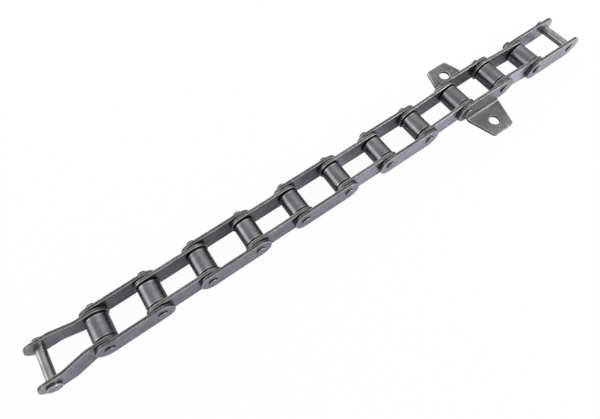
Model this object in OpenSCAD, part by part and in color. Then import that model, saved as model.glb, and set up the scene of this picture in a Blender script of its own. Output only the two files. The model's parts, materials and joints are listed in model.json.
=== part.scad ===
// Steel conveyor chain: twelve pitches of rollers, bushes and riveted pins between flat side
// plates, with a cranked link at one end and a link with two bent-out lugs near the other.
// Millimetres. The chain runs along X and lies on the plane z = 0, centred in X and Y.

/* [Chain] */
// Distance between neighbouring pin axes
pitch = 41.4; // [38:0.1:50]

/* [Side plates] */
// Height of a side plate, which is also the diameter of its round ends
plate_h = 19.4; // [17.5:0.1:22]
// Thickness of the sheet of every side plate
plate_t = 2.7; // [2:0.1:3.5]
// Clear width between the two inner plates of a link
inner_w = 20.3; // [16:0.1:30]
// Side gap between an inner plate and the outer plate beside it
side_gap = 0.75; // [0.3:0.05:1]

/* [Pins] */
// Diameter of every pin
pin_d = 7.16; // [6:0.02:8]
// Length of the riveted pin end that stands proud of the near outer plate
near_stub = 1.2; // [0.8:0.1:4]
// Length of the pin end that stands proud of the far outer plate
far_stub = 4.6; // [1:0.1:6]
// Size of the bevel round the riveted near end of a pin
stub_bevel = 0.4; // [0.2:0.1:0.7]
// Radius of the rounded edge of a pin's far end
far_round = 1.2; // [0.3:0.1:2]
// Diameter of the head on the connecting pin
head_d = 10.6; // [9:0.1:12]
// Thickness of that head
head_t = 2.4; // [1.5:0.1:4]
// Size of the bevel round that head
head_bevel = 0.8; // [0.3:0.1:1.2]

/* [Bushes and rollers] */
// Radial clearance of a pin in its bush
pin_fit = 0.05; // [0.02:0.01:0.1]
// Wall thickness of a bush
bush_wall = 1.4; // [1:0.1:2]
// How far a bush stands proud of the inner plates that hold it
bush_proud = 0.2; // [0.05:0.05:0.25]
// Radial clearance of a roller on its bush
roller_fit = 0.06; // [0.02:0.01:0.1]
// Outside diameter of a roller
roller_d = 16.9; // [15.5:0.1:19]
// Side gap between a roller's end and the inner plate beside it
roller_gap = 0.8; // [0.1:0.05:1]
// Size of the bevel round a roller's ends
roller_bevel = 0.4; // [0.2:0.1:1]

/* [Cranked link] */
// Flat run of a cranked plate beyond the round end of the plate that turns beside it
crank_clear = 0.8; // [0.3:0.1:2]
// Inside radius of the two bends of a cranked plate
crank_r = 14; // [5:0.5:16]

/* [Lugs] */
// Height of the pin axes above the underside of a lug
lug_drop = 13.4; // [12:0.1:18]
// Distance from a pin axis to the nearer end of the lug's bend
lug_inset = 3.1; // [2:0.1:6]
// Distance from the chain's centre line to the outer edge of a lug
lug_reach = 42.8; // [40:0.1:50]
// Width of a lug at its outer edge, before its corners are rounded
lug_edge_w = 20.6; // [15:0.1:26]
// Inside radius of the bend from plate to lug
lug_bend_r = 2.6; // [1.5:0.1:3]
// Radius of the two outer corners of a lug
lug_corner_r = 3; // [1:0.1:5]
// Distance from the chain's centre line to the hole in a lug
lug_hole_y = 31; // [28:0.1:34]
// Diameter of the hole in a lug
lug_hole_d = 9; // [6:0.1:10]
// Width of the relief slot at each end of the bend
relief_w = 1; // [0.5:0.1:1.5]

/* [Hidden] */
$fn = 72;
LINK_COUNT = 12;
LUG_LINK = 10; // counted from the cranked link, which is link 1
LINKS = [for (i = [1:LINK_COUNT]) i];
JOINTS = [for (k = [1:LINK_COUNT + 1]) k];
BUSHED = [for (k = [2:LINK_COUNT]) k];
SIDES = ["near", "far"];

pin_r = pin_d / 2;
bush_bore_r = pin_r + pin_fit;
bush_r = bush_bore_r + bush_wall;
roller_bore_r = bush_r + roller_fit;
plate_r = plate_h / 2;
inner_y = inner_w / 2;                       // inner face of an inner plate
outer_y = inner_y + plate_t + side_gap;      // inner face of an outer plate
face_y = outer_y + plate_t;                  // outer face of an outer plate

crank_flat = plate_r + crank_clear;
crank_jog = outer_y - inner_y;
crank_mid_r = crank_r + plate_t / 2;
crank_span = pitch - 2 * crank_flat;
crank_web = sqrt(pow(crank_span, 2) - 4 * crank_mid_r * crank_jog + pow(crank_jog, 2));
crank_angle = atan2(2 * crank_mid_r, crank_web) - atan2(2 * crank_mid_r - crank_jog, crank_span);

bend_z = lug_bend_r + plate_t - lug_drop;    // height of the lug bend's centre from the pin axes
bend_y = face_y + lug_bend_r;                // its distance from the chain's centre line
lug_base_w = pitch - 2 * lug_inset;

ARC_STEPS = 10;                              // straight steps that make up an arc of points
root_h = 1;                                  // how far a lug reaches up into its plate
past = 1;                                    // how far a cutting tool runs past what it cuts

// Which kind of link a number stands for
function kind(i) = i == 1 ? "crank" : i == LUG_LINK ? "lug" : i % 2 == 0 ? "outer" : "inner";

// Node names
function plate_name(i, side) = str(kind(i), "_plate_", i, "_", side);
function pin_name(k) = k == 1 ? "connecting_pin" : str("pin_", k);
function bush_name(k) = str("bush_", k);
function roller_name(k) = str("roller_", k);

// Where the pin axes are while the chain lies on its plates and lugs
function joint_z(k) = k == LUG_LINK || k == LUG_LINK + 1 ? max(lug_drop, plate_r) : plate_r;
function joint_run(k) = sqrt(pow(pitch, 2) - pow(joint_z(k + 1) - joint_z(k), 2));
function run_to(k) = k == 1 ? 0 : run_to(k - 1) + joint_run(k - 1);
function joint_x(k) = run_to(k) - run_to(LINK_COUNT + 1) / 2;
function link_tilt(i) = asin((joint_z(i + 1) - joint_z(i)) / pitch);

// Points along an arc from one angle to another
function arc(centre, r, from, to) = [for (n = [0:ARC_STEPS])
    let (a = from + (to - from) * n / ARC_STEPS) centre + r * [cos(a), sin(a)]];
function reversed(list) = [for (n = [1:len(list)]) list[len(list) - n]];

// A line along a cranked plate, seen from above, h further in than the sheet's mid-plane
function crank_line(h) = concat(
    [[-plate_r - past, h]],
    arc([crank_flat, crank_mid_r], crank_mid_r - h, 270, 270 + crank_angle),
    arc([pitch - crank_flat, crank_jog - crank_mid_r], crank_mid_r + h, 90 + crank_angle, 90),
    [[pitch + plate_r + past, crank_jog + h]]);

// Stands children on the axis of joint k
module at_joint(k) {
    translate([joint_x(k), 0, joint_z(k)])
        children();
}

// Lays children, drawn from a first pin axis along +X, along link i
module along_link(i) {
    at_joint(i)
        rotate([0, -link_tilt(i), 0])
            children();
}

// Mirrors the near side, which is -Y, for the far side
module on_side(side) {
    mirror([0, side == "far" ? 1 : 0, 0])
        children();
}

// Stands a flat shape up on its edge, t thick, with its inner face y from the centre line
module upright(y, t) {
    translate([0, -y, 0])
        rotate([90, 0, 0])
            linear_extrude(t)
                children();
}

// Outline of a plate: a bar with full-round ends, from one pin axis to the next
module bar() {
    circle(plate_r);
    translate([pitch, 0])
        circle(plate_r);
    translate([0, -plate_r])
        square([pitch, plate_h]);
}

// A round hole or shaft outline on each pin axis
module eyes(r_first, r_last) {
    circle(r_first);
    translate([pitch, 0])
        circle(r_last);
}

// Straight plate that presses onto the pins or the bushes
module straight_plate(y, r) {
    upright(y, plate_t)
        difference() {
            bar();
            eyes(r, r);
        }
}

// The sheet of a cranked plate before its ends are rounded: flat, bend, web, bend, flat
module crank_sheet() {
    translate([0, -outer_y - plate_t / 2, -plate_r])
        linear_extrude(plate_h)
            polygon(concat(crank_line(plate_t / 2), reversed(crank_line(-plate_t / 2))));
}

// Cranked plate: outer plate at the connecting pin, inner plate at the first bush
module crank_plate() {
    color("#6b6b70")
        difference() {
            intersection() {
                crank_sheet();
                upright(inner_y - past, face_y - inner_y + 2 * past)
                    bar();
            }
            upright(inner_y - past, face_y - inner_y + 2 * past)
                eyes(pin_r, bush_r);
        }
}

// Outline of a lug plate's bent-out part, seen from above, with its middle on the Y axis: a bend
// as wide as the lug's base, edges that close in to the rounded outer corners, and the hole
module lug_outline() {
    lean = atan2((lug_base_w - lug_edge_w) / 2, lug_reach - bend_y);
    corner = [lug_edge_w / 2 + lug_corner_r * (tan(lean) - 1 / cos(lean)), lug_reach - lug_corner_r];
    difference() {
        polygon(concat(
            [[-lug_base_w / 2, bend_y], [-lug_base_w / 2, 0], [lug_base_w / 2, 0], [lug_base_w / 2, bend_y]],
            arc(corner, lug_corner_r, lean, 90),
            arc([-corner.x, corner.y], lug_corner_r, 90, 180 - lean)));
        translate([0, lug_hole_y])
            circle(lug_hole_d / 2);
    }
}

// The sheet through a lug, seen along the chain: down out of the plate, round the bend and out
module lug_profile() {
    translate([outer_y, bend_z])
        square([plate_t, root_h]);
    translate([bend_y, bend_z])
        intersection() {
            difference() {
                circle(lug_bend_r + plate_t);
                circle(lug_bend_r);
            }
            translate([-lug_bend_r - plate_t, -lug_bend_r - plate_t])
                square(lug_bend_r + plate_t);
        }
    translate([bend_y, -lug_drop])
        square([lug_reach - bend_y + past, plate_t]);
}

// The bent-out part of a lug plate, drawn with the outward direction along +Y
module lug() {
    intersection() {
        translate([-lug_base_w / 2 - past, 0, 0])
            rotate([90, 0, 90])
                linear_extrude(lug_base_w + 2 * past)
                    lug_profile();
        translate([0, 0, -lug_drop - past])
            linear_extrude(lug_drop + 2 * past)
                lug_outline();
    }
}

// Outer plate whose lower edge is bent out flat into a lug, with a relief slot at each end
module lug_plate() {
    color("#77777b")
        union() {
            difference() {
                straight_plate(outer_y, pin_r);
                translate([lug_inset - relief_w, -face_y - past, -plate_r - past])
                    cube([lug_base_w + 2 * relief_w, plate_t + 2 * past, bend_z + plate_r + past]);
            }
            translate([pitch / 2, 0, 0])
                mirror([0, 1, 0])
                    lug();
        }
}

// The plate on one side of link i
module side_plate(i, side) {
    along_link(i)
        on_side(side)
            if (kind(i) == "crank")
                crank_plate();
            else if (kind(i) == "lug")
                lug_plate();
            else if (kind(i) == "outer")
                color("#77777b")
                    straight_plate(outer_y, pin_r);
            else
                color("#5c5b62")
                    straight_plate(inner_y, bush_r);
}

// Turns a profile, drawn as radius by distance along the pin, about the pin's axis
module turned() {
    rotate([-90, 0, 0])
        rotate_extrude()
            children();
}

// Half of a near pin end: the head of the connecting pin
function head_points() = [
    [0, -face_y - head_t],
    [head_d / 2 - head_bevel, -face_y - head_t],
    [head_d / 2, -face_y - head_t + head_bevel],
    [head_d / 2, -face_y],
    [pin_r, -face_y]];

// Half of a near pin end: a bevelled rivet end
function rivet_points() = [
    [0, -face_y - near_stub],
    [pin_r - stub_bevel, -face_y - near_stub],
    [pin_r, -face_y - near_stub + stub_bevel]];

// Pin with a rounded end proud of the far outer plate, and a rivet end or a head at the near one
module pin(k) {
    far_end = face_y + far_stub;
    color("#8c8b87")
        at_joint(k)
            turned()
                polygon(concat(
                    k == 1 ? head_points() : rivet_points(),
                    arc([pin_r - far_round, far_end - far_round], far_round, 0, 90),
                    [[0, far_end]]));
}

// Bush pressed through both inner plates
module bush(k) {
    half = inner_y + plate_t + bush_proud;
    color("#55555a")
        at_joint(k)
            turned()
                translate([bush_bore_r, -half])
                    square([bush_wall, 2 * half]);
}

// Roller that turns on the bush
module roller(k) {
    half = inner_y - roller_gap;
    r = roller_d / 2;
    color("#6f6f72")
        at_joint(k)
            turned()
                polygon([
                    [roller_bore_r, -half],
                    [r - roller_bevel, -half],
                    [r, -half + roller_bevel],
                    [r, half - roller_bevel],
                    [r - roller_bevel, half],
                    [roller_bore_r, half]]);
}

for (i = LINKS)
    for (side = SIDES)
        side_plate(i, side);
for (k = JOINTS)
    pin(k);
for (k = BUSHED)
    bush(k);
for (k = BUSHED)
    roller(k);
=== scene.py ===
"""Conveyor chain with a cranked end link and a bent-lug link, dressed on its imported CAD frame."""

import json
import logging
import math
from dataclasses import dataclass, field, replace
from enum import Enum, IntEnum
from typing import Any, ClassVar, Iterable, Union

import bmesh
import bpy
from mathutils import Matrix, Vector

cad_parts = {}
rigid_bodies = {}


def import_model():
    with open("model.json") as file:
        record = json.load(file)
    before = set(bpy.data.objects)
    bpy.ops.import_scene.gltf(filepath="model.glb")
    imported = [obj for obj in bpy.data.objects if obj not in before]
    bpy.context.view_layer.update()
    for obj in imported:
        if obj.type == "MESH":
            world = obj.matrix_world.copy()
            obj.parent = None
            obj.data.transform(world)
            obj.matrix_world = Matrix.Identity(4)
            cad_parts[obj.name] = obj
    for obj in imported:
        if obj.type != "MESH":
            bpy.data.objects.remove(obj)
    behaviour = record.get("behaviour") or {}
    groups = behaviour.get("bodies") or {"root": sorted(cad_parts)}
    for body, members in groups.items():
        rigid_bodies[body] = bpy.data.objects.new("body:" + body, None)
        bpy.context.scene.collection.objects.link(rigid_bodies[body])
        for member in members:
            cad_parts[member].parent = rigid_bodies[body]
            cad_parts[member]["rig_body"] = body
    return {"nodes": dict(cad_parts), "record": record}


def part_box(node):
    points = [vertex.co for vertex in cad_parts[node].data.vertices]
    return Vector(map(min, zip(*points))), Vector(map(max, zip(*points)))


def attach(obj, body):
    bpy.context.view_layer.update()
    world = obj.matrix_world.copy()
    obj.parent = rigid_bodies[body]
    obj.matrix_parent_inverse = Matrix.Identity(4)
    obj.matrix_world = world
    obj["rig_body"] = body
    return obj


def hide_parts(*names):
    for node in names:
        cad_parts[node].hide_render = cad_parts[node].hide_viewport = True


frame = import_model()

log = logging.getLogger("chain")

Colour = tuple[float, float, float]
Place = tuple[float, float, float]
Setting = Union[float, tuple, "Socket"]

MM = 0.001
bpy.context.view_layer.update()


# ---------------------------------------------------------------- shader kit


class Socket:
    """A value in a material that takes part in Python arithmetic."""

    def __init__(self, shader: "Shader", out: bpy.types.NodeSocket | None) -> None:
        """Wraps an output.

        Args:
            shader: The material that the output belongs to.
            out: The output socket itself, or None for a node that has none.
        """
        self.shader = shader
        self.out = out

    def __add__(self, other: Setting) -> "Socket":
        """Sum."""
        return self.shader.maths("ADD", self, other)

    def __radd__(self, other: Setting) -> "Socket":
        """Sum with the value on the right."""
        return self.shader.maths("ADD", other, self)

    def __sub__(self, other: Setting) -> "Socket":
        """Difference."""
        return self.shader.maths("SUBTRACT", self, other)

    def __rsub__(self, other: Setting) -> "Socket":
        """Difference with the value on the right."""
        return self.shader.maths("SUBTRACT", other, self)

    def __mul__(self, other: Setting) -> "Socket":
        """Product."""
        return self.shader.maths("MULTIPLY", self, other)

    def __rmul__(self, other: Setting) -> "Socket":
        """Product with the value on the right."""
        return self.shader.maths("MULTIPLY", other, self)

    def __gt__(self, other: Setting) -> "Socket":
        """1 where this value is the larger, 0 elsewhere."""
        return self.shader.maths("GREATER_THAN", self, other)

    def __lt__(self, other: Setting) -> "Socket":
        """1 where this value is the smaller, 0 elsewhere."""
        return self.shader.maths("LESS_THAN", self, other)

    def ramp(self, low: float, high: float) -> "Socket":
        """Rises smoothly from 0 to 1, or falls where low is above high.

        Args:
            low: The value that gives 0.
            high: The value that gives 1.

        Returns:
            The eased value.
        """
        first, last = sorted((low, high))
        settings = {"interpolation_type": "SMOOTHSTEP"}
        rise = self.shader.node("ShaderNodeMapRange", settings, {0: self, 1: first, 2: last})
        return rise if low < high else 1 - rise


@dataclass(frozen=True)
class Noise:
    """A noise over a piece.

    It has a number of features per metre, for all three directions or each of them, some finer octaves,
    and a shift that sets it apart from others of its scale. Where it is cut, it rises from 0 to 1 between
    two values. Elsewhere it varies round MIDDLE.
    """

    scale: float | tuple[float, float, float]
    detail: float = 3.0
    shift: float = 0.0
    cut: tuple[float, float] | None = None


# What an uncut noise varies round
MIDDLE = 0.5


class Pattern(Enum):
    """Every noise of the finishes, by what it draws."""

    OIL_FILM = Noise(150.0, 4.0, 7.0, cut=(0.36, 0.56))
    BLOTCHES = Noise(45.0, 2.0)
    PATCHES = Noise(230.0, 4.0, 3.1)
    GRAIN = Noise(1300.0, 2.0, 5.7)
    CAST = Noise(33.0, 2.0, 9.3, cut=(0.42, 0.72))
    ROLLING_LINES = Noise((70.0, 900.0, 1900.0), 2.0)
    MILL_SKIN = Noise(400.0)
    SPECKS = Noise(900.0, 2.0, 1.7, cut=(0.63, 0.72))
    SCRATCHES = Noise((160.0, 160.0, 3600.0), 1.0, 4.4, cut=(0.66, 0.74))
    SCRATCHED_PARTS = Noise(60.0, 1.0, 8.8, cut=(0.5, 0.62))
    # Breaks up the painted shade round a pin
    PAINTED_PIN_SHADE = Noise(420.0, 3.0, 2.2, cut=(0.25, 0.6))
    OIL_STAINS = Noise(350.0, 3.0, 5.2, cut=(0.3, 0.6))
    LIGHT_PATCH_PARTS = Noise(190.0, 4.0, 6.6, cut=(0.3, 0.6))
    DRAWN_MARKS = Noise((1500.0, 90.0, 1500.0), 2.0)
    TEARS = Noise((420.0, 900.0, 420.0), 4.0, 6.1, cut=(0.45, 0.65))
    COARSE_WEAR_AND_HIGHLIGHT = Noise(90.0, 2.0)
    FINE_WEAR_AND_HIGHLIGHT = Noise(600.0, 2.0, 2.9)
    CORNER_SKIN = Noise(500.0, 2.0)
    TURNED_RINGS = Noise((40.0, 2600.0, 40.0), 2.0)
    TURNED_SKIN = Noise(300.0)
    SMUDGES = Noise((330.0, 55.0, 330.0), 3.0, 7.5, cut=(0.5, 0.75))
    PITS = Noise(1500.0, 1.0, 3.8, cut=(0.7, 0.76))
    DULL_PARTS = Noise(160.0, 3.0, 4.0)


class Ray(Enum):
    """Kinds of light ray that the studio answers to in its own way."""

    TO_EYE = "Is Camera Ray"
    IN_GLASS = "Is Transmission Ray"
    IN_METAL = "Is Glossy Ray"


@dataclass(frozen=True)
class Skin:
    """What lies on the bare metal: the share of it that oxide leaves bare, and a film of oil."""

    bare: float = 0.8
    oil: float = 0.3
    thinnest_oil: float = 0.55
    oil_roughness: float = 0.28


class Shader:
    """The nodes of a procedural material, or of the world, under construction."""

    bump_strength: ClassVar[float] = 0.6
    noise_roughness: ClassVar[float] = 0.6

    def __init__(self, owner: bpy.types.Material | bpy.types.World) -> None:
        """Clears a material's or a world's nodes to build on them.

        Args:
            owner: The material or the world.
        """
        self.owner = owner
        self.owner.use_nodes = True
        self.tree = self.owner.node_tree
        self.tree.nodes.clear()
        self.place = self.node("ShaderNodeTexCoord", output="Object")

    def node(
        self,
        kind: str,
        settings: dict[str, Any] | None = None,
        inputs: dict[int | str, Setting] | None = None,
        output: int | str = 0,
    ) -> Socket:
        """Adds one node of any type.

        Args:
            kind: The node's type.
            settings: Its properties, set before its sockets.
            inputs: Values or links of its sockets, by index or name.
            output: Which output to give back.

        Returns:
            That output.
        """
        made = self.tree.nodes.new(kind)
        for name, value in (settings or {}).items():
            setattr(made, name, value)
        for key, value in (inputs or {}).items():
            if isinstance(value, Socket):
                self.tree.links.new(value.out, made.inputs[key])
            elif isinstance(value, tuple) and made.inputs[key].type == "RGBA":
                made.inputs[key].default_value = (*value, 1.0)
            else:
                made.inputs[key].default_value = value
        return Socket(self, made.outputs[output] if len(made.outputs) else None)

    def maths(self, operation: str, *values: Setting) -> Socket:
        """Adds one Math node.

        Args:
            operation: The node's operation.
            *values: Its inputs, in order.

        Returns:
            The node's result.
        """
        return self.node("ShaderNodeMath", {"operation": operation}, dict(enumerate(values)))

    def noise(self, pattern: Pattern) -> Socket:
        """Draws a noise over the piece.

        Args:
            pattern: Which noise.

        Returns:
            A value round MIDDLE, or from 0 to 1 where the noise is cut.
        """
        grain = pattern.value
        steps = grain.scale if isinstance(grain.scale, tuple) else (grain.scale,) * 3
        moved = {"Vector": self.place, "Location": (grain.shift,) * 3, "Scale": steps}
        drawn = {
            "Vector": self.node("ShaderNodeMapping", {}, moved),
            "Scale": 1.0,
            "Detail": grain.detail,
            "Roughness": self.noise_roughness,
        }
        value = self.node("ShaderNodeTexNoise", {}, drawn)
        return value.ramp(*grain.cut) if grain.cut else value

    def mix(self, factor: Setting, first: Setting, second: Setting) -> Socket:
        """Blends two colours.

        Args:
            factor: 0 gives the first, 1 the second.
            first: A colour.
            second: Another colour.

        Returns:
            The blend.
        """
        return self.node("ShaderNodeMix", {"data_type": "RGBA"}, {0: factor, 6: first, 7: second}, output=2)

    def axis(self, name: str) -> Socket:
        """One coordinate of the place on the piece, in metres.

        Args:
            name: "X", "Y" or "Z".

        Returns:
            The coordinate.
        """
        return self.node("ShaderNodeSeparateXYZ", {}, {0: self.place}, output=name)

    def ray(self, kind: Ray) -> Socket:
        """1 for one kind of light ray, 0 for the others."""
        return self.node("ShaderNodeLightPath", output=kind.value)

    def steel(self, colour: Setting, roughness: Setting, height: Socket, depth: float, skin: Skin) -> None:
        """Ends the material in a steel surface.

        Args:
            colour: Base colour.
            roughness: Roughness.
            height: Relief, from 0 to 1.
            depth: How deep that relief is, in metres.
            skin: What lies on the bare metal.
        """
        relief = {"Strength": self.bump_strength, "Distance": depth, "Height": height}
        bump = self.node("ShaderNodeBump", {}, relief)
        film = self.noise(Pattern.OIL_FILM) * (1.0 - skin.thinnest_oil) + skin.thinnest_oil
        surface = {
            "Base Color": colour,
            "Roughness": roughness,
            "Normal": bump,
            "Metallic": skin.bare,
            "Coat Weight": film * skin.oil,
            "Coat Roughness": skin.oil_roughness,
        }
        coated = self.node("ShaderNodeBsdfPrincipled", {}, surface)
        self.node("ShaderNodeOutputMaterial", {}, {"Surface": coated})


# ---------------------------------------------------------------- places on the chain


@dataclass(frozen=True)
class PinLine:
    """Where the pin axes lie at rest, in metres."""

    first_x: float
    pitch: float
    low_z: float
    high_z: float
    raised: tuple[float, float]

    @classmethod
    def from_frame(cls) -> "PinLine":
        """Reads the line from the pins of the CAD frame.

        Returns:
            The line, with the stretch along X where the lug link raises it.
        """
        axes = {}
        for name in frame["nodes"]:
            if name == "connecting_pin" or name.startswith("pin_"):
                low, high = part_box(name)
                number = 1 if name == "connecting_pin" else int(name.split("_")[1])
                axes[number] = (Vector(low) + Vector(high)) / 2
        heights = [axes[number].z for number in sorted(axes)]
        top = max(heights)
        raised = [axes[number].x for number in sorted(axes) if axes[number].z > top - MM]
        pitch = axes[2].x - axes[1].x
        return cls(axes[1].x, pitch, min(heights), top, (min(raised) - pitch / 2, max(raised) + pitch / 2))

    def distance(self, shader: Shader) -> Socket:
        """Distance from the nearest pin axis, in metres.

        Args:
            shader: The material that needs it.

        Returns:
            The distance.
        """
        x, z = shader.axis("X"), shader.axis("Z")
        along = shader.maths("WRAP", x - self.first_x, self.pitch / 2, -self.pitch / 2)
        lift = (x > self.raised[0]) * (x < self.raised[1]) * (self.high_z - self.low_z)
        across = z - lift - self.low_z
        return shader.maths("SQRT", along * along + across * across)


@dataclass(frozen=True)
class Band:
    """A band round a piece, by its distances from the chain's middle, with soft edges, in metres."""

    start: float
    end: float
    soft: float = 0.08 * MM
    near_only: bool = False

    def on(self, shader: Shader) -> Socket:
        """Draws the band, on both sides of the middle unless it is a near one.

        Args:
            shader: The material.

        Returns:
            1 in the band, 0 elsewhere.
        """
        out = 0.0 - shader.axis("Y") if self.near_only else shader.maths("ABSOLUTE", shader.axis("Y"))
        rise = out.ramp(self.start - self.soft, self.start + self.soft)
        return rise * out.ramp(self.end + self.soft, self.end - self.soft)


LINE = PinLine.from_frame()

# Distances from the chain's middle, in metres: both sides of the plates' sheets, and a roller's end
PLATE_FACE_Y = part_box("outer_plate_2_far")[1][1]
INNER_FACE_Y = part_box("inner_plate_3_far")[0][1]
OUTER_FACE_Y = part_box("outer_plate_2_far")[0][1]
ROLLER_END_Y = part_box("roller_3")[1][1]

# The gap between an inner and an outer plate, with a strip of either, where shade is painted
PLATE_GAP = Band(
    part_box("inner_plate_3_far")[1][1] - 0.3 * MM,
    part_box("outer_plate_2_far")[0][1] + 0.2 * MM,
)
# How near to a pin axis the plates lie together, and where that ends, in metres
TOGETHER_WITHIN, APART_FROM = 10.5 * MM, 12.5 * MM

# A distance that no piece reaches, in metres
BEYOND = 1.0


# ---------------------------------------------------------------- finishes


class Layer(Enum):
    """What lies over the steel in places, or is painted on it as light and shade: its colour, and how much
    of the steel it hides.
    """

    SPECKS = ((0.045, 0.043, 0.046), 0.45)
    SCRATCHES = ((0.42, 0.42, 0.43), 0.4)
    # Painted shade: a dark outline round a pin's stub or a bush
    PAINTED_PIN_SHADE = ((0.024, 0.022, 0.024), 0.85)
    OIL_STAINS = ((0.075, 0.062, 0.034), 0.8)
    # Painted shade, near black: in the gap between plates at a pin, and on an inner plate's inner face round
    # a roller's end
    PAINTED_GAP_SHADE = ((0.012, 0.012, 0.012), 0.85)
    # Lighter steel in patches
    LIGHT_PATCHES = ((0.26, 0.26, 0.262), 0.35)
    PITS = ((0.03, 0.027, 0.026), 0.65)
    # Painted highlight: a bright ring on a roller near its end
    PAINTED_HIGHLIGHT_RING = ((0.5, 0.5, 0.5), 0.6)
    # Painted shade at a roller's ends, and on a pin where it leaves a plate
    PAINTED_COLLAR_SHADE = ((0.012, 0.012, 0.012), 0.9)
    # Painted shadow at a roller's near end
    PAINTED_END_SHADOW = ((0.006, 0.006, 0.006), 0.95)

    def over(self, under: Socket, where: Socket) -> Socket:
        """Lays it over a colour.

        Args:
            under: The colour so far.
            where: 1 where the layer is full, 0 where there is none.

        Returns:
            The colour with the layer on it.
        """
        colour, cover = self.value
        return under.shader.mix(where * cover, under, colour)


@dataclass(frozen=True)
class Finish:
    """A steel surface of the chain, clouded between a dark and a light tone, with a cast in places."""

    name: str
    dark: Colour
    light: Colour
    cast: Colour
    roughness: float
    skin: Skin = Skin()

    made: ClassVar[dict[str, bpy.types.Material]] = {}
    cloud_parts: ClassVar[tuple[tuple[Pattern, float], ...]] = (
        (Pattern.BLOTCHES, 0.45),
        (Pattern.PATCHES, 0.35),
        (Pattern.GRAIN, 0.2),
    )
    contrast: ClassVar[float] = 2.6
    spread: ClassVar[float] = 1.0
    cast_share: ClassVar[float] = 0.55

    def material(self) -> bpy.types.Material:
        """Makes the finish a material, once.

        Returns:
            The material.
        """
        if self.name not in Finish.made:
            shader = Shader(bpy.data.materials.new(self.name))
            self.paint(shader)
            Finish.made[self.name] = shader.owner
        return Finish.made[self.name]

    def with_painted_light(self, tone: float) -> "Finish":
        """The same finish painted lighter or darker, to stand in for the light that falls on one plate.

        Args:
            tone: How much lighter it is painted, as a factor.

        Returns:
            The finish, under a name of its own.
        """
        if tone == 1.0:
            return self
        colours = (self.dark, self.light, self.cast)
        dark, light, cast = (tuple(channel * tone for channel in colour) for colour in colours)
        return replace(self, name=f"{self.name}_{round(tone * 100)}", dark=dark, light=light, cast=cast)

    def paint_gap_shade(self, shader: Shader, colour: Socket) -> Socket:
        """Paints shade on the cut edges in the gap where an inner and an outer plate lie together at a pin.

        Args:
            shader: The material.
            colour: The colour so far.

        Returns:
            The darkened colour.
        """
        together = LINE.distance(shader).ramp(APART_FROM, TOGETHER_WITHIN)
        return Layer.PAINTED_GAP_SHADE.over(colour, PLATE_GAP.on(shader) * together)

    def clouds(self, shader: Shader) -> Socket:
        """The base colour: dark and light steel in patches, with a cast in places.

        Args:
            shader: The material.

        Returns:
            The colour.
        """
        blotches, patches, grain = (shader.noise(pattern) * part for pattern, part in self.cloud_parts)
        cloud = (blotches + patches + grain - MIDDLE) * (self.contrast * self.spread) + MIDDLE
        tone = shader.mix(cloud.ramp(0.0, 1.0), self.dark, self.light)
        return shader.mix(shader.noise(Pattern.CAST) * self.cast_share, tone, self.cast)

    def paint(self, shader: Shader) -> None:
        """Builds the nodes of the finish in a new material."""
        raise NotImplementedError


@dataclass(frozen=True)
class RolledFace(Finish):
    """Flat face of a blanked plate: mill finish, oil-blacked, with painted shade round the pins.

    Its lengths are in metres. Where the lighter patches start and end, how far out the painted shade at a
    roller's end reaches, and stained_within are distances from the chain's middle. The other lengths of
    painted shade and of stains are distances from a pin's axis.
    """

    ring_inner: float = 3.6 * MM
    ring_outer: float = 4.7 * MM
    light_patches_from: float = BEYOND
    light_patches_to: float = 2 * BEYOND
    roller_shade_within: float = 0.0
    roller_shade_radius: float = 9.0 * MM
    roller_shade_edge: float = 0.9 * MM
    stained_within: float = 0.0
    stain_inner: float = 4.0 * MM
    stain_outer: float = 7.5 * MM

    spread: ClassVar[float] = 1.35
    patch_roughness: ClassVar[float] = 0.28
    pin_shade_roughness: ClassVar[float] = 0.12
    scratch_polish: ClassVar[float] = 0.1
    line_relief: ClassVar[float] = 0.5
    speck_relief: ClassVar[float] = 0.3
    depth: ClassVar[float] = 0.022 * MM

    def paint(self, shader: Shader) -> None:
        """Builds clouds, rolling lines, specks and scratches, and the stains and painted shade round the
        pins.

        Args:
            shader: The material.
        """
        specks = shader.noise(Pattern.SPECKS)
        scratches = shader.noise(Pattern.SCRATCHES) * shader.noise(Pattern.SCRATCHED_PARTS)
        away = LINE.distance(shader)
        across = shader.maths("ABSOLUTE", shader.axis("Y"))
        # Painted shade round the base of a pin's stub or round a bush, broken up by noise
        ring = away.ramp(self.ring_outer, self.ring_inner) * shader.noise(Pattern.PAINTED_PIN_SHADE)
        stain = (across < self.stained_within) * away.ramp(self.stain_outer, self.stain_inner)
        # Painted shade on an inner plate's inner face near a pin, where the roller's end shades it
        roller_shade_end = self.roller_shade_radius + self.roller_shade_edge
        roller_shade = (across < self.roller_shade_within) * away.ramp(roller_shade_end, self.roller_shade_radius)
        # Lighter in patches towards the lug's outer edge
        lighter_patches = across.ramp(self.light_patches_from, self.light_patches_to) * shader.noise(Pattern.LIGHT_PATCH_PARTS)
        colour = self.clouds(shader)
        for layer, where in (
            (Layer.SPECKS, specks),
            (Layer.SCRATCHES, scratches),
            (Layer.PAINTED_PIN_SHADE, ring),
            (Layer.OIL_STAINS, stain * shader.noise(Pattern.OIL_STAINS)),
            (Layer.PAINTED_GAP_SHADE, roller_shade),
            (Layer.LIGHT_PATCHES, lighter_patches),
        ):
            colour = layer.over(colour, where)
        patches = (shader.noise(Pattern.PATCHES) - MIDDLE) * self.patch_roughness
        roughness = self.roughness + patches + ring * self.pin_shade_roughness - scratches * self.scratch_polish
        lines = shader.noise(Pattern.ROLLING_LINES) * self.line_relief
        relief = lines + shader.noise(Pattern.MILL_SKIN) - specks * self.speck_relief
        shader.steel(colour, roughness, relief, self.depth, self.skin)


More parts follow.
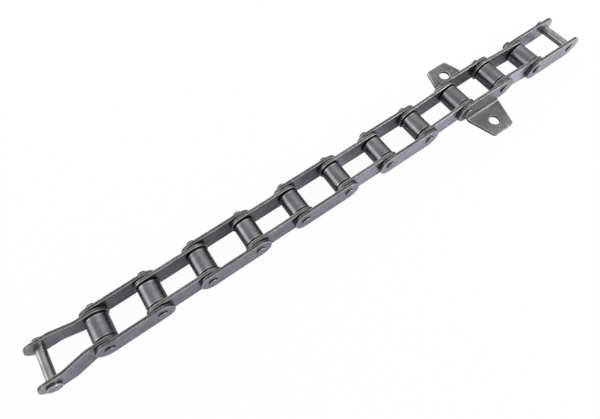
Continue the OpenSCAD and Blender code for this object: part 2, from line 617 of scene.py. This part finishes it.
@dataclass(frozen=True)
class ShearedEdge(Finish):
    """Cut edge of a plate: drawn marks straight through the sheet, torn in places."""

    mark_cut: ClassVar[tuple[float, float]] = (0.32, 0.68)
    mark_roughness: ClassVar[float] = 0.3
    torn_share: ClassVar[float] = 0.5
    torn_roughness: ClassVar[float] = 0.15
    torn_relief: ClassVar[float] = 0.4
    depth: ClassVar[float] = 0.05 * MM

    def paint(self, shader: Shader) -> None:
        """Builds the drawn marks and the torn patches.

        Args:
            shader: The material.
        """
        marks = shader.noise(Pattern.DRAWN_MARKS)
        torn = shader.noise(Pattern.TEARS)
        colour = shader.mix(marks.ramp(*self.mark_cut), self.dark, self.light)
        # Painted shade in the gap between the plates near a pin
        colour = self.paint_gap_shade(shader, shader.mix(torn * self.torn_share, colour, self.cast))
        roughness = self.roughness + (marks - MIDDLE) * self.mark_roughness + torn * self.torn_roughness
        shader.steel(colour, roughness, marks + torn * self.torn_relief, self.depth, self.skin)


@dataclass(frozen=True)
class WornAndHighlightCorner(Finish):
    """Rounded corner of a plate or a rim, bright in patches: partly worn bright where it has been handled,
    partly a painted highlight along the edge.
    """

    wear_and_highlight: float = 0.5

    coarse: ClassVar[float] = 0.7
    fine: ClassVar[float] = 0.3
    plain_cut: ClassVar[tuple[float, float]] = (0.65, 0.75)
    wear_and_highlight_shift: ClassVar[tuple[float, float]] = (0.4, 0.25)
    dullness: ClassVar[float] = 0.1
    polish: ClassVar[float] = 0.12
    depth: ClassVar[float] = 0.012 * MM

    def paint(self, shader: Shader) -> None:
        """Builds bright patches that come and go along the corner, partly worn steel and partly painted
        highlight.

        Args:
            shader: The material.
        """
        coarse = shader.noise(Pattern.COARSE_WEAR_AND_HIGHLIGHT) * self.coarse
        patches = coarse + shader.noise(Pattern.FINE_WEAR_AND_HIGHLIGHT) * self.fine
        start, full = (limit - self.wear_and_highlight * shift for limit, shift in zip(self.plain_cut, self.wear_and_highlight_shift))
        # Bright patches: worn steel and painted highlight along the corner
        lighter_patches = patches.ramp(start, full)
        # Painted shade in the gap between the plates near a pin
        colour = self.paint_gap_shade(shader, shader.mix(lighter_patches, self.clouds(shader), self.cast))
        roughness = self.roughness + self.dullness - lighter_patches * self.polish
        shader.steel(colour, roughness, shader.noise(Pattern.CORNER_SKIN), self.depth, self.skin)


@dataclass(frozen=True)
class TurnedSteel(Finish):
    """Round piece: faint rings from turning, smudges along it, small pits, and a painted highlight ring and
    painted shade at a collar.
    """

    rings: float = 0.3
    smudges: float = 0.5
    # Where a painted highlight ring runs
    bright: Band | None = None
    collar: Band | None = None
    near_collar: Band | None = None

    spread: ClassVar[float] = 1.1
    ring_roughness: ClassVar[float] = 0.12
    smudge_roughness: ClassVar[float] = 0.16
    dull_roughness: ClassVar[float] = 0.24
    pit_relief: ClassVar[float] = 0.3
    skin_relief: ClassVar[float] = 0.5
    depth: ClassVar[float] = 0.018 * MM

    def paint(self, shader: Shader) -> None:
        """Builds rings, smudges, pits and the bands of painted highlight and painted shade at a collar.

        Args:
            shader: The material.
        """
        rings = shader.noise(Pattern.TURNED_RINGS)
        smudge = shader.noise(Pattern.SMUDGES)
        pits = shader.noise(Pattern.PITS)
        colour = shader.mix(smudge * self.smudges, self.clouds(shader), self.dark)
        colour = Layer.PITS.over(colour, pits)
        # Bands of painted highlight, of painted shade, and of painted shadow on the near side only
        for layer, band in (
            (Layer.PAINTED_HIGHLIGHT_RING, self.bright),
            (Layer.PAINTED_COLLAR_SHADE, self.collar),
            (Layer.PAINTED_END_SHADOW, self.near_collar),
        ):
            if band:
                colour = layer.over(colour, band.on(shader))
        dull = (shader.noise(Pattern.DULL_PARTS) - MIDDLE) * self.dull_roughness
        turned = self.roughness + (rings - MIDDLE) * self.ring_roughness
        roughness = turned + smudge * self.smudge_roughness + dull
        relief = rings * self.rings - pits * self.pit_relief
        relief = relief + shader.noise(Pattern.TURNED_SKIN) * self.skin_relief
        shader.steel(colour, roughness, relief, self.depth, self.skin)


@dataclass(frozen=True)
class PlateFinish:
    """The three surfaces of one kind of plate."""

    face: Finish
    edge: Finish
    corner: Finish


@dataclass(frozen=True)
class RoundFinish:
    """The surfaces of one kind of round piece: wall, ends, rims, and a pin's riveted tail."""

    wall: Finish
    end: Finish
    rim: Finish
    tail: Finish | None = None

    def surfaces(self) -> list[Finish]:
        """The finishes in the order of the surfaces' numbers."""
        return [self.wall, self.end, self.rim] + ([self.tail] if self.tail else [])


def grey(value: float) -> Colour:
    """A colour without a hue."""
    return (value, value, value)


class Steel(Enum):
    """Every finish of the chain, by the piece that wears it."""

    OUTER = PlateFinish(
        face=RolledFace(
            "outer_plate_face", dark=(0.087, 0.0855, 0.0985), light=(0.202, 0.1995, 0.227),
            cast=(0.162, 0.153, 0.197), roughness=0.34, skin=Skin(bare=0.9, oil=1.0),
            stained_within=OUTER_FACE_Y + 0.1 * MM,
        ),
        edge=ShearedEdge(
            "outer_plate_edge", dark=(0.035, 0.035, 0.037), light=(0.13, 0.13, 0.135),
            cast=(0.06, 0.06, 0.062), roughness=0.4,
        ),
        corner=WornAndHighlightCorner(
            "outer_plate_corner", dark=(0.12, 0.12, 0.123), light=(0.22, 0.22, 0.225),
            cast=(0.5, 0.5, 0.505), roughness=0.3, wear_and_highlight=0.85,
        ),
    )
    INNER = PlateFinish(
        face=RolledFace(
            "inner_plate_face", dark=(0.102, 0.0985, 0.1145), light=(0.24, 0.236, 0.267),
            cast=(0.189, 0.1785, 0.231), roughness=0.35, skin=Skin(bare=0.9, oil=1.0),
            # Painted shade: a ring round each bush, and on the inner faces round the rollers' ends
            ring_inner=5.05 * MM, ring_outer=6.0 * MM, roller_shade_within=INNER_FACE_Y + 0.2 * MM,
        ),
        edge=ShearedEdge(
            "inner_plate_edge", dark=(0.06, 0.06, 0.062), light=(0.2, 0.2, 0.205),
            cast=(0.09, 0.09, 0.092), roughness=0.38,
        ),
        corner=WornAndHighlightCorner(
            "inner_plate_corner", dark=(0.14, 0.14, 0.143), light=(0.25, 0.25, 0.255),
            cast=(0.58, 0.58, 0.585), roughness=0.28, wear_and_highlight=0.85,
        ),
    )
    LUG = PlateFinish(
        face=RolledFace(
            "lug_plate_face", dark=(0.055, 0.055, 0.056), light=grey(0.15), cast=(0.105, 0.106, 0.101),
            # Lighter in patches from 24 to 40 mm out, towards the lug's edge
            roughness=0.4, skin=Skin(bare=0.5, oil=0.45), light_patches_from=24 * MM, light_patches_to=40 * MM,
        ),
        edge=ShearedEdge(
            "lug_plate_edge", dark=grey(0.05), light=grey(0.17), cast=grey(0.08), roughness=0.42
        ),
        corner=WornAndHighlightCorner(
            "lug_plate_corner", dark=grey(0.15), light=grey(0.25), cast=grey(0.42), roughness=0.36, wear_and_highlight=0.85
        ),
    )
    UPRIGHT = RolledFace(
        "lug_plate_upright", dark=(0.052, 0.053, 0.055), light=(0.132, 0.134, 0.138),
        cast=(0.104, 0.105, 0.112), roughness=0.33, skin=Skin(bare=0.9, oil=1.0),
    )
    ROLLER = RoundFinish(
        wall=TurnedSteel(
            "roller_wall", dark=(0.11, 0.108, 0.114), light=(0.205, 0.2, 0.216),
            cast=(0.16, 0.152, 0.176), roughness=0.26, skin=Skin(bare=0.95, oil=0.4),
            # Painted highlight ring inside each end, painted shade at both ends, and a wider painted shadow
            # at the near end
            bright=Band(ROLLER_END_Y - 1.6 * MM, ROLLER_END_Y - 1.2 * MM, 0.06 * MM),
            collar=Band(ROLLER_END_Y - 0.75 * MM, ROLLER_END_Y + MM, 0.05 * MM),
            near_collar=Band(ROLLER_END_Y - 1.2 * MM, ROLLER_END_Y + MM, 0.06 * MM, near_only=True),
        ),
        # End and rim painted near black: painted shade at the roller's ends
        end=TurnedSteel(
            "roller_end", dark=grey(0.01), light=grey(0.035), cast=grey(0.02),
            roughness=0.45, skin=Skin(bare=0.5, oil=0.2),
        ),
        rim=WornAndHighlightCorner(
            "roller_rim", dark=grey(0.012), light=grey(0.03), cast=grey(0.08), roughness=0.4, wear_and_highlight=0.3
        ),
    )
    PIN = RoundFinish(
        wall=TurnedSteel(
            "pin_wall", dark=(0.16, 0.16, 0.156), light=(0.34, 0.336, 0.325),
            cast=(0.26, 0.258, 0.245), roughness=0.27, skin=Skin(bare=0.95, oil=0.4), smudges=0.3,
            # Painted shade where the pin leaves a plate, over the side of its stub
            collar=Band(PLATE_FACE_Y - 1.5 * MM, PLATE_FACE_Y + 0.8 * MM, 0.3 * MM),
        ),
        end=TurnedSteel(
            "pin_end", dark=(0.09, 0.088, 0.092), light=(0.19, 0.187, 0.197),
            cast=(0.14, 0.135, 0.15), roughness=0.36, skin=Skin(bare=0.9, oil=1.0), smudges=0.2,
        ),
        rim=WornAndHighlightCorner(
            "pin_rim", dark=grey(0.15), light=grey(0.28), cast=grey(0.5), roughness=0.38, wear_and_highlight=0.85
        ),
        tail=TurnedSteel(
            "pin_tail", dark=(0.035, 0.035, 0.037), light=(0.1, 0.1, 0.102),
            cast=(0.07, 0.068, 0.07), roughness=0.45, skin=Skin(bare=0.7, oil=0.3), smudges=0.4,
        ),
    )
    BUSH = TurnedSteel(
        "bush_wall", dark=(0.04, 0.04, 0.042), light=(0.1, 0.1, 0.105), cast=grey(0.07), roughness=0.38
    )


# How much lighter some plates are painted than others of their kind: painted light and shade that follows
# the light along the chain
PAINTED_LIGHT_TONE = {
    "inner_plate_3_near": 0.8,
    "inner_plate_5_near": 0.78,
    "inner_plate_7_near": 1.4,
    "inner_plate_7_far": 1.75,
    "inner_plate_9_near": 1.48,
    "inner_plate_11_near": 2.0,
    "outer_plate_2_far": 0.72,
    "outer_plate_4_far": 0.65,
    "outer_plate_8_near": 1.36,
    "outer_plate_12_far": 1.4,
}


# ---------------------------------------------------------------- pieces

# Angle over which an edge is rounded, and under which faces are one flat, in degrees
SHARP_ANGLE = 30.0
FLAT_ANGLE = 0.4

# Points this close are merged, on a plate and on a turned piece, in metres
PLATE_WELD = 1e-6
TURNED_WELD = 1e-7

# Strips across a rounded corner or rim, and across the rounder end of a pin's tail
CORNER_STRIPS = 3
TAIL_STRIPS = 6

# What still counts as on a side of a piece's box, for a plate's faces and a pin's rims, in metres
PLATE_SLACK = 0.05 * MM
RIM_SLACK = 0.1 * MM


class PlateSurface(IntEnum):
    """Number of each surface of a plate, in the order of its finishes."""

    FACE = 0
    EDGE = 1
    CORNER = 2
    UPRIGHT = 3


class RoundSurface(IntEnum):
    """Number of each surface of a round piece, in the order of its finishes."""

    WALL = 0
    END = 1
    RIM = 2
    TAIL = 3


def body_of(node: str) -> str:
    """Name of the CAD body that a node moves with."""
    return frame["nodes"][node]["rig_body"]


def sharp_edges(mesh: bmesh.types.BMesh) -> list[bmesh.types.BMEdge]:
    """Edges where two faces meet at more than SHARP_ANGLE.

    Args:
        mesh: The mesh.

    Returns:
        Those edges.
    """
    sharp = math.radians(SHARP_ANGLE)
    return [edge for edge in mesh.edges if len(edge.link_faces) == 2 and edge.calc_face_angle() > sharp]


def bevel(
    mesh: bmesh.types.BMesh, edges: list[bmesh.types.BMEdge], size: float, segments: int
) -> set[bmesh.types.BMFace]:
    """Rounds edges of a mesh.

    Args:
        mesh: The mesh.
        edges: The edges to round.
        size: Width of the rounding, in metres.
        segments: Number of strips across it.

    Returns:
        The faces of the rounding.
    """
    made = bmesh.ops.bevel(
        mesh, geom=edges, offset=size, offset_type="OFFSET", segments=segments, profile=0.5,
        affect="EDGES", material=-1, clamp_overlap=False,
    )
    return set(made["faces"])


@dataclass
class Piece:
    """One visible piece that stands for a CAD node and moves as it does.

    Its shading breaks at edges over the crease angle, in degrees.
    """

    node: str
    slot: str
    shape: bpy.types.Object | None = None
    crease: float = 25.0

    def finish_mesh(self, mesh: bmesh.types.BMesh, finishes: Iterable[Finish]) -> None:
        """Turns the finished mesh into the scene's piece, in place of the CAD node.

        Args:
            mesh: The shape, in the frame's own place. It is freed.
            finishes: Finishes, in the order of the faces' material numbers.
        """
        data = bpy.data.meshes.new(f"{self.node}_piece")
        mesh.to_mesh(data)
        mesh.free()
        data.shade_smooth()
        data.set_sharp_from_angle(angle=math.radians(self.crease))
        for finish in finishes:
            data.materials.append(finish.material())
        self.shape = bpy.data.objects.new(f"{self.node}_piece", data)
        bpy.context.scene.collection.objects.link(self.shape)
        flats = self.shape.modifiers.new("flats_stay_flat", "WEIGHTED_NORMAL")
        flats.keep_sharp = True
        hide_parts(self.node)
        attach(self.shape, body_of(self.node))


@dataclass
class Plate(Piece):
    """A blanked plate with its corners broken."""

    finish: PlateFinish = Steel.OUTER.value
    corner: float = 0.36 * MM
    # How much lighter the plate's face is painted: painted light and shade
    tone: float = 1.0

    # A face whose normal turns less than this to the chain's side is a cut edge
    side_turn: ClassVar[float] = 0.7

    def build(self) -> None:
        """Copies the CAD plate, merges its flats and rounds its corners."""
        mesh = bmesh.new()
        mesh.from_mesh(frame["nodes"][self.node].data)
        bmesh.ops.remove_doubles(mesh, verts=mesh.verts, dist=PLATE_WELD)
        flat = math.radians(FLAT_ANGLE)
        bmesh.ops.dissolve_limit(mesh, angle_limit=flat, verts=mesh.verts, edges=mesh.edges)
        rounded = bevel(mesh, sharp_edges(mesh), self.corner, CORNER_STRIPS)
        for face in mesh.faces:
            face.material_index = PlateSurface.CORNER if face in rounded else self.surface_of(face)
        self.finish_mesh(mesh, self.finishes())

    def finishes(self) -> list[Finish]:
        """The finishes in the order of the surfaces' numbers."""
        return [self.finish.face.with_painted_light(self.tone), self.finish.edge, self.finish.corner]

    def surface_of(self, face: bmesh.types.BMFace) -> PlateSurface:
        """Tells a cut edge of the sheet from its two sides."""
        return PlateSurface.EDGE if abs(face.normal.y) < self.side_turn else PlateSurface.FACE


@dataclass
class LugPlate(Plate):
    """An outer plate whose lower edge is bent out flat into a lug."""

    finish: PlateFinish = Steel.LUG.value
    upright: Finish = Steel.UPRIGHT.value

    # Parts of a face's normal along the chain, downwards and to the side that tell what it belongs to
    end_turn: ClassVar[float] = 0.1
    down_turn: ClassVar[float] = 0.9
    upright_turn: ClassVar[float] = 0.99
    # Height over which a face is above the lug's own sheet, in metres
    lug_top: ClassVar[float] = 3 * MM

    def finishes(self) -> list[Finish]:
        """The finishes of a plate, and that of the upright sides of the sheet."""
        return super().finishes() + [self.upright]

    def surface_of(self, face: bmesh.types.BMFace) -> PlateSurface:
        """Tells a cut edge from the sheet's sides, which turn from upright to level.

        Args:
            face: A face outside the rounded corners.

        Returns:
            The surface that it belongs to.
        """
        low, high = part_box(self.node)
        where = face.calc_center_median()
        tip = max(abs(low[1]), abs(high[1])) - PLATE_SLACK
        hangs_over = where.z > low[2] + self.lug_top and face.normal.z < -self.down_turn
        at_rim = abs(where.y) > tip or where.z > high[2] - PLATE_SLACK
        if abs(face.normal.x) > self.end_turn or at_rim or hangs_over:
            return PlateSurface.EDGE
        return PlateSurface.UPRIGHT if abs(face.normal.y) > self.upright_turn else PlateSurface.FACE


@dataclass
class Turned(Piece):
    """A piece turned about a pin axis from half of its profile."""

    crease: float = 40.0
    finish: RoundFinish = Steel.PIN.value
    rim: float = 0.4 * MM
    steps: int = 96

    # A face whose normal turns more than this along the axis is an end
    end_turn: ClassVar[float] = 0.9

    def centre(self) -> tuple[Vector, float, float, float]:
        """Measures the CAD node.

        Returns:
            The middle of its axis, its radius, and its near and far ends along Y.
        """
        low, high = (Vector(corner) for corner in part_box(self.node))
        middle = (low + high) / 2
        return Vector((middle.x, 0.0, middle.z)), (high.x - low.x) / 2, low.y, high.y

    def profile(self) -> list[tuple[float, float]]:
        """Half of the section, as radius and distance along Y, from axis to axis."""
        _, radius, near, far = self.centre()
        return [(0.0, near), (radius, near), (radius, far), (0.0, far)]

    def round_rims(self, mesh: bmesh.types.BMesh) -> set[bmesh.types.BMFace]:
        """Rounds every rim by the same amount, and returns the faces of the rounding."""
        return bevel(mesh, sharp_edges(mesh), self.rim, CORNER_STRIPS)

    def closed(self) -> bool:
        """Whether the profile is a ring rather than a line from axis to axis."""
        return False

    def build(self) -> None:
        """Spins the profile, merges its poles and rounds its rims."""
        middle = self.centre()[0]
        mesh = bmesh.new()
        corners = [mesh.verts.new((radius, along, 0.0)) for radius, along in self.profile()]
        edges = [mesh.edges.new(pair) for pair in zip(corners, corners[1:])]
        if self.closed():
            edges.append(mesh.edges.new((corners[-1], corners[0])))
        bmesh.ops.spin(
            mesh, geom=corners + edges, cent=(0.0, 0.0, 0.0), axis=(0.0, 1.0, 0.0), dvec=(0.0, 0.0, 0.0),
            angle=math.tau, steps=self.steps, use_merge=True, use_normal_flip=False, use_duplicate=False,
        )
        bmesh.ops.remove_doubles(mesh, verts=mesh.verts, dist=TURNED_WELD)
        bmesh.ops.recalc_face_normals(mesh, faces=mesh.faces)
        rounded = self.round_rims(mesh)
        for face in mesh.faces:
            face.material_index = self.surface_of(face, face in rounded)
        bmesh.ops.translate(mesh, vec=middle, verts=mesh.verts)
        self.finish_mesh(mesh, self.finish.surfaces())

    def surface_of(self, face: bmesh.types.BMFace, rounded: bool) -> RoundSurface:
        """Tells a face of the rounding from one of the ends or the wall.

        Args:
            face: A face of the piece.
            rounded: Whether it belongs to the rounding of a rim.

        Returns:
            The surface that it belongs to.
        """
        if rounded:
            return RoundSurface.RIM
        return RoundSurface.END if abs(face.normal.y) > self.end_turn else RoundSurface.WALL


@dataclass
class Roller(Turned):
    """A roller, free to turn on its bush."""

    finish: RoundFinish = Steel.ROLLER.value

    def profile(self) -> list[tuple[float, float]]:
        """Section of the roller's wall.

        Returns:
            Its corners, as radius and distance along Y.
        """
        middle, radius, near, far = self.centre()
        points = [vert.co for vert in frame["nodes"][self.node].data.vertices]
        bore = min(math.hypot(point.x - middle.x, point.z - middle.z) for point in points)
        return [(bore, near), (radius, near), (radius, far), (bore, far)]

    def closed(self) -> bool:
        """A roller is a ring."""
        return True


@dataclass
class Pin(Turned):
    """A pin with rivet ends, or the connecting pin with its head."""

    head: bool = False
    head_length: float = 2.4 * MM
    head_rim: float = 0.8 * MM
    far_rim: float = 1.2 * MM
    shaft_radius: float = 3.58 * MM

    def profile(self) -> list[tuple[float, float]]:
        """Section of the pin, with a head at the near end where it has one.

        Returns:
            Its corners, as radius and distance along Y.
        """
        _, radius, near, far = self.centre()
        shaft = [(self.shaft_radius, PLATE_FACE_Y), (self.shaft_radius, far), (0.0, far)]
        if not self.head:
            return [(0.0, near), (radius, near)] + shaft
        seat = near + self.head_length
        return [(0.0, near), (radius, near), (radius, seat), (self.shaft_radius, seat)] + shaft

    def surface_of(self, face: bmesh.types.BMFace, rounded: bool) -> RoundSurface:
        """As for any turned piece, but the tail behind the far plate is a surface of its own."""
        tail = face.calc_center_median().y > PLATE_FACE_Y
        return RoundSurface.TAIL if tail else super().surface_of(face, rounded)

    def round_rims(self, mesh: bmesh.types.BMesh) -> set[bmesh.types.BMFace]:
        """Rounds the near rim a little and the far one more.

        Args:
            mesh: The pin's mesh, before it is moved to its place in the chain.

        Returns:
            The faces of the rounding.
        """
        _, _, near, far = self.centre()
        rims = sharp_edges(mesh)
        near_rim = [edge for edge in rims if max(vert.co.y for vert in edge.verts) < near + RIM_SLACK]
        far_rim = [edge for edge in rims if min(vert.co.y for vert in edge.verts) > far - RIM_SLACK]
        rounded = bevel(mesh, near_rim, self.head_rim if self.head else self.rim, CORNER_STRIPS)
        return rounded | bevel(mesh, far_rim, self.far_rim, TAIL_STRIPS)


# ---------------------------------------------------------------- sub-assemblies


@dataclass
class Link:
    """One link: its plates, its pins or bushes, and how they are finished."""

    body: str
    plates: list[Piece] = field(default_factory=list)
    pins: list[Piece] = field(default_factory=list)
    bushes: list[str] = field(default_factory=list)

    @classmethod
    def from_body(cls, body: str, nodes: Iterable[str]) -> "Link":
        """Sorts a body's nodes into plates, pins and bushes.

        Args:
            body: The CAD body.
            nodes: The names of its nodes.

        Returns:
            The link, not built yet.
        """
        link = cls(body)
        for node in sorted(nodes):
            # How much lighter the plate is painted, for the light on it
            tone = PAINTED_LIGHT_TONE.get(node, 1.0)
            if node.startswith("lug_plate"):
                link.plates.append(LugPlate(node, "outer_plate_steel"))
            elif node.startswith("inner_plate"):
                link.plates.append(Plate(node, "inner_plate_steel", finish=Steel.INNER.value, tone=tone))
            elif "_plate_" in node:
                link.plates.append(Plate(node, "outer_plate_steel", tone=tone))
            elif node == "connecting_pin":
                link.pins.append(Pin(node, "pin_steel", head=True))
            elif node.startswith("pin_"):
                link.pins.append(Pin(node, "pin_steel"))
            elif node.startswith("bush_"):
                link.bushes.append(node)
        return link

    def build(self) -> None:
        """Builds the plates and pins."""
        for piece in self.plates + self.pins:
            piece.build()

    def dress(self) -> None:
        """Gives the bushes, which keep their CAD shape, their finish."""
        for node in self.bushes:
            data = frame["nodes"][node].data
            data.materials.clear()
            data.materials.append(Steel.BUSH.value.material())

    def report(self) -> None:
        """Logs what the link is made of."""
        names = [piece.node for piece in self.plates + self.pins] + self.bushes
        log.info("%s: %s", self.body, ", ".join(names))


@dataclass
class Chain:
    """The whole chain."""

    links: list[Link] = field(default_factory=list)
    rollers: list[Roller] = field(default_factory=list)

    @classmethod
    def from_frame(cls) -> "Chain":
        """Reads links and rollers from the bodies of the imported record.

        Returns:
            The chain, not built yet.
        """
        chain = cls()
        for body, nodes in frame["record"]["behaviour"]["bodies"].items():
            if body.startswith("roller_"):
                chain.rollers += [Roller(node, "roller_steel") for node in nodes]
            else:
                chain.links.append(Link.from_body(body, nodes))
        return chain

    def build(self) -> None:
        """Builds and dresses every link and roller."""
        for link in self.links:
            link.build()
            link.dress()
            link.report()
        for roller in self.rollers:
            roller.build()
            log.info("%s: roller", roller.node)


# ---------------------------------------------------------------- studio


@dataclass(frozen=True)
class Lamp:
    """A soft rectangular lamp, in metres, watts, and degrees of spread."""

    name: str
    place: Place
    target: Place
    size: tuple[float, float]
    power: float
    spread: float = 180.0

    def hang(self) -> None:
        """Hangs the lamp in the scene and turns it to its target."""
        light = bpy.data.lights.new(self.name, "AREA")
        light.shape = "RECTANGLE"
        light.size, light.size_y = self.size
        light.energy = self.power
        light.spread = math.radians(self.spread)
        holder = bpy.data.objects.new(self.name, light)
        holder.location = self.place
        aim = Vector(self.target) - Vector(self.place)
        holder.rotation_euler = aim.to_track_quat("-Z", "Y").to_euler()
        bpy.context.scene.collection.objects.link(holder)


@dataclass(frozen=True)
class Studio:
    """Pale floor, white surroundings and soft lamps."""

    floor_size: float = 8.0
    floor_colour: Colour = (0.82, 0.81, 0.92)
    ambient: float = 0.48
    sky_in_metal: float = 0.8
    glow: float = 0.97
    glow_in_metal: float = 0.12
    lamps: tuple[Lamp, ...] = (
        Lamp(
            "key", place=(-1.1, 0.38, 0.5), target=(-0.35, 0.0, 0.0), size=(0.7, 0.85), power=0.49,
            spread=60.0,
        ),
        Lamp("back", place=(0.7, 0.6, 1.15), target=(0.0, 0.0, 0.0), size=(1.2, 1.0), power=2.4),
        Lamp("front", place=(0.75, -0.5, 0.6), target=(0.25, 0.0, 0.0), size=(0.7, 0.6), power=7.8),
        Lamp("rear", place=(-0.2, 0.9, 0.4), target=(0.0, 0.0, 0.0), size=(1.0, 0.5), power=6.0),
    )

    def glow_share(self, shader: Shader) -> Socket:
        """How much of the floor glows: most of it to the eye, less of it in a reflection.

        Args:
            shader: The floor's material.

        Returns:
            The share.
        """
        seen = shader.maths("MAXIMUM", shader.ray(Ray.TO_EYE), shader.ray(Ray.IN_GLASS))
        return shader.maths("MAXIMUM", seen * self.glow, shader.ray(Ray.IN_METAL) * self.glow_in_metal)

    def lay_floor(self) -> None:
        """Lays a pale floor that keeps the chain's shadow."""
        mesh = bmesh.new()
        bmesh.ops.create_grid(mesh, x_segments=1, y_segments=1, size=self.floor_size / 2)
        data = bpy.data.meshes.new("studio_floor")
        mesh.to_mesh(data)
        mesh.free()
        shader = Shader(bpy.data.materials.new("studio_floor"))
        paint = shader.node("ShaderNodeBsdfDiffuse", {}, {"Color": self.floor_colour})
        light = shader.node("ShaderNodeEmission", {}, {"Color": grey(1.0), "Strength": 1.0})
        surface = shader.node("ShaderNodeMixShader", {}, {0: self.glow_share(shader), 1: paint, 2: light})
        shader.node("ShaderNodeOutputMaterial", {}, {"Surface": surface})
        data.materials.append(shader.owner)
        floor = bpy.data.objects.new("studio_floor", data)
        bpy.context.scene.collection.objects.link(floor)

    def light_world(self) -> None:
        """Makes the surroundings white to the eye and softer as a light."""
        world = bpy.data.worlds.new("studio")
        bpy.context.scene.world = world
        shader = Shader(world)
        to_eye = shader.ray(Ray.TO_EYE) + shader.ray(Ray.IN_GLASS)
        seen = shader.maths("MAXIMUM", to_eye, shader.ray(Ray.IN_METAL) * self.sky_in_metal)
        strength = shader.maths("MAXIMUM", seen, self.ambient)
        sky = shader.node("ShaderNodeBackground", {}, {"Color": grey(1.0), "Strength": strength})
        shader.node("ShaderNodeOutputWorld", {}, {"Surface": sky})

    def build(self) -> None:
        """Sets up floor, surroundings and lamps."""
        self.lay_floor()
        self.light_world()
        for lamp in self.lamps:
            lamp.hang()
        log.info("studio: floor, surroundings and lamps")


@dataclass(frozen=True)
class Eye:
    """The camera, close above the near side of the chain.

    Its place, target and sight are in metres, its roll in degrees, its lens and sensor in millimetres.
    """

    place: Place = (-0.102138, -0.124465, 0.303623)
    target: Place = (-0.039922, -0.004459, 0.0097)
    roll: float = -7.672
    lens: float = 24.85
    sensor: float = 36.0
    shift: tuple[float, float] = (0.00126, -0.00199)
    sight: tuple[float, float] = (0.01, 50.0)

    def build(self) -> None:
        """Makes the scene's camera."""
        ahead = (Vector(self.target) - Vector(self.place)).normalized()
        level = ahead.cross(Vector((0.0, 0.0, 1.0))).normalized()
        right = Matrix.Rotation(-math.radians(self.roll), 3, ahead) @ level
        up = right.cross(ahead)
        data = bpy.data.cameras.new("camera")
        data.sensor_fit = "HORIZONTAL"
        data.sensor_width = self.sensor
        data.lens = self.lens
        data.shift_x, data.shift_y = self.shift
        data.clip_start, data.clip_end = self.sight
        camera = bpy.data.objects.new("camera", data)
        turn = Matrix((right, up, -ahead)).transposed().to_4x4()
        camera.matrix_world = Matrix.Translation(self.place) @ turn
        bpy.context.scene.collection.objects.link(camera)
        bpy.context.scene.camera = camera
        log.info("camera: lens %.2f mm", self.lens)


def write_sizes() -> None:
    """Brings the scene's view layer up to date."""
    bpy.context.view_layer.update()


def main() -> None:
    """Builds the scene in order: camera, chain, studio."""
    logging.basicConfig(level=logging.INFO, format="%(message)s")
    bpy.context.scene.view_settings.view_transform = "Standard"
    Eye().build()
    Chain.from_frame().build()
    Studio().build()
    write_sizes()


if __name__ == "__main__":
    main()
